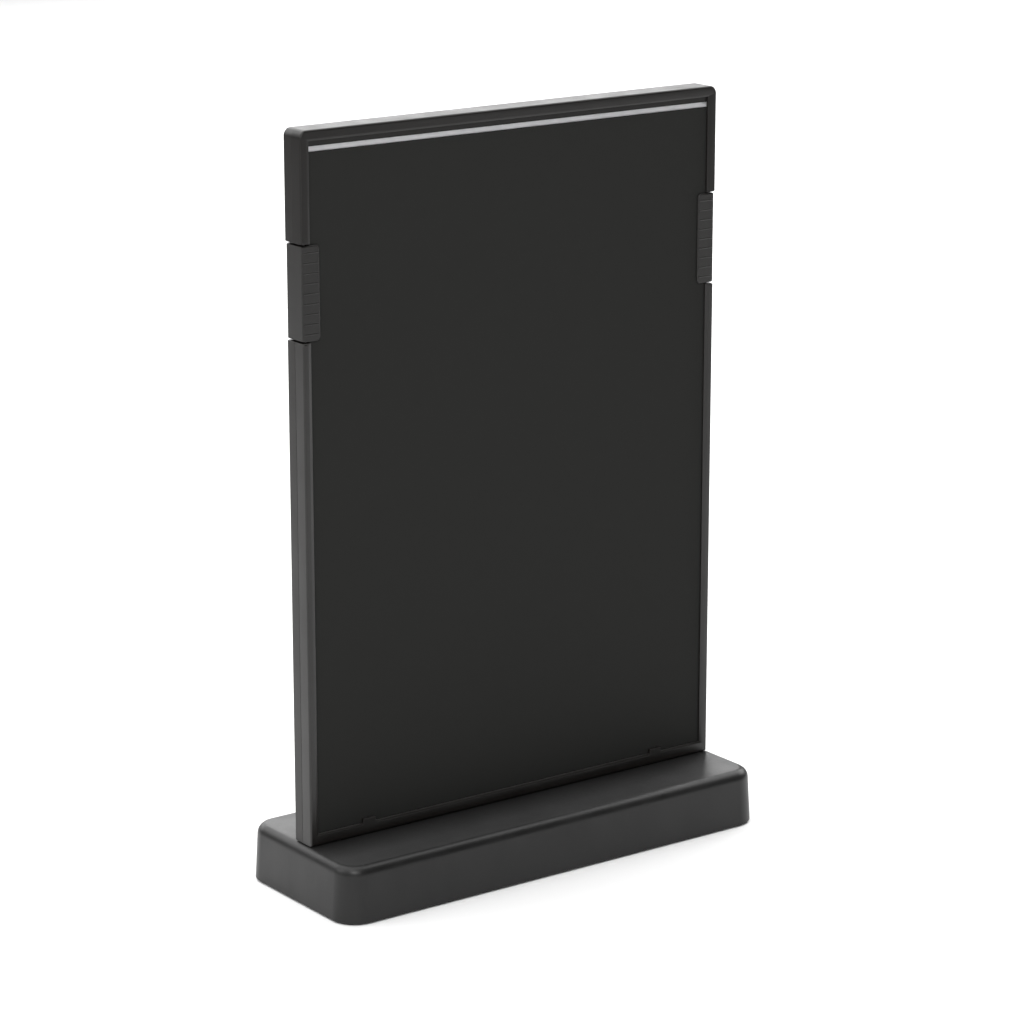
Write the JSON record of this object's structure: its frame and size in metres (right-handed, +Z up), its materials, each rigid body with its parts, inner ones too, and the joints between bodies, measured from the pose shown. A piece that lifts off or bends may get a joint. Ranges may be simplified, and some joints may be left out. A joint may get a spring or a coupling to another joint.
{
  "type": "tabletop sandwich board",
  "caption": "Small portrait sign with a black writing board on each face of a slim frame, a lift-off hood with squeeze grips, and a weighted base.",
  "frame": {"origin": "on the floor under the middle of the base", "axes": "+X across the sign to the viewer's right, +Y from the front face to the back face, +Z up"},
  "size_m": [0.228, 0.081, 0.336],
  "materials": {
    "black_plastic": "satin moulded black, slightly warm",
    "black_rubber": "matt moulded rubber",
    "board_black": "matt black writing surface on a white core",
    "backing_grey": "matt light grey sheet",
    "grey_card": "uncoated grey board",
    "zinc_steel": "zinc-plated",
    "spring_steel": "rolled spring strip"
  },
  "bodies": {
    "stand": {"base_cover": "black_plastic", "base_plate": "black_plastic", "front_ballast": "zinc_steel", "back_ballast": "zinc_steel", "front_left_foot": "black_rubber", "back_left_foot": "black_rubber", "front_right_foot": "black_rubber", "back_right_foot": "black_rubber", "front_left_base_screw": "zinc_steel", "back_left_base_screw": "zinc_steel", "front_right_base_screw": "zinc_steel", "back_right_base_screw": "zinc_steel", "left_frame_screw": "zinc_steel", "right_frame_screw": "zinc_steel", "left_tenon_screw": "zinc_steel", "right_tenon_screw": "zinc_steel", "lower_frame_front": "black_plastic", "lower_frame_back": "black_plastic", "front_backing": "backing_grey", "back_backing": "backing_grey", "core_board": "grey_card"},
    "hood": {"hood_front": "black_plastic", "hood_back": "black_plastic", "left_guide": "black_plastic", "right_guide": "black_plastic", "left_lower_guide_pin": "zinc_steel", "left_upper_guide_pin": "zinc_steel", "right_lower_guide_pin": "zinc_steel", "right_upper_guide_pin": "zinc_steel", "left_grip_spring": "spring_steel", "right_grip_spring": "spring_steel"},
    "left_grip": {"left_grip": "black_plastic"},
    "right_grip": {"right_grip": "black_plastic"},
    "front_board": {"front_board": "board_black"},
    "back_board": {"back_board": "board_black"}
  },
  "joints": [
    {"name": "hood_lift", "type": "slide", "parent": "stand", "child": "hood", "axis": [0, 0, 1], "range_m": [0, 0.1]},
    {"name": "front_board_lift", "type": "slide", "parent": "stand", "child": "front_board", "axis": [0, 0, 1], "range_m": [0, 0.06]},
    {"name": "back_board_lift", "type": "slide", "parent": "stand", "child": "back_board", "axis": [0, 0, 1], "range_m": [0, 0.06]},
    {"name": "left_grip_squeeze", "type": "slide", "parent": "hood", "child": "left_grip", "axis": [1, 0, 0], "range_m": [0, 0.0008], "stiffness_N_per_m": 2500, "springref_m": -0.0008, "deforming": ["left_grip_spring"]},
    {"name": "right_grip_squeeze", "type": "slide", "parent": "hood", "child": "right_grip", "axis": [-1, 0, 0], "range_m": [0, 0.0008], "stiffness_N_per_m": 2500, "springref_m": -0.0008, "deforming": ["right_grip_spring"]}
  ],
  "couplings": [
    {"joint": "front_board_lift", "follows": "hood_lift", "ratio": 0.6},
    {"joint": "back_board_lift", "follows": "hood_lift", "ratio": 0.6}
  ]
}
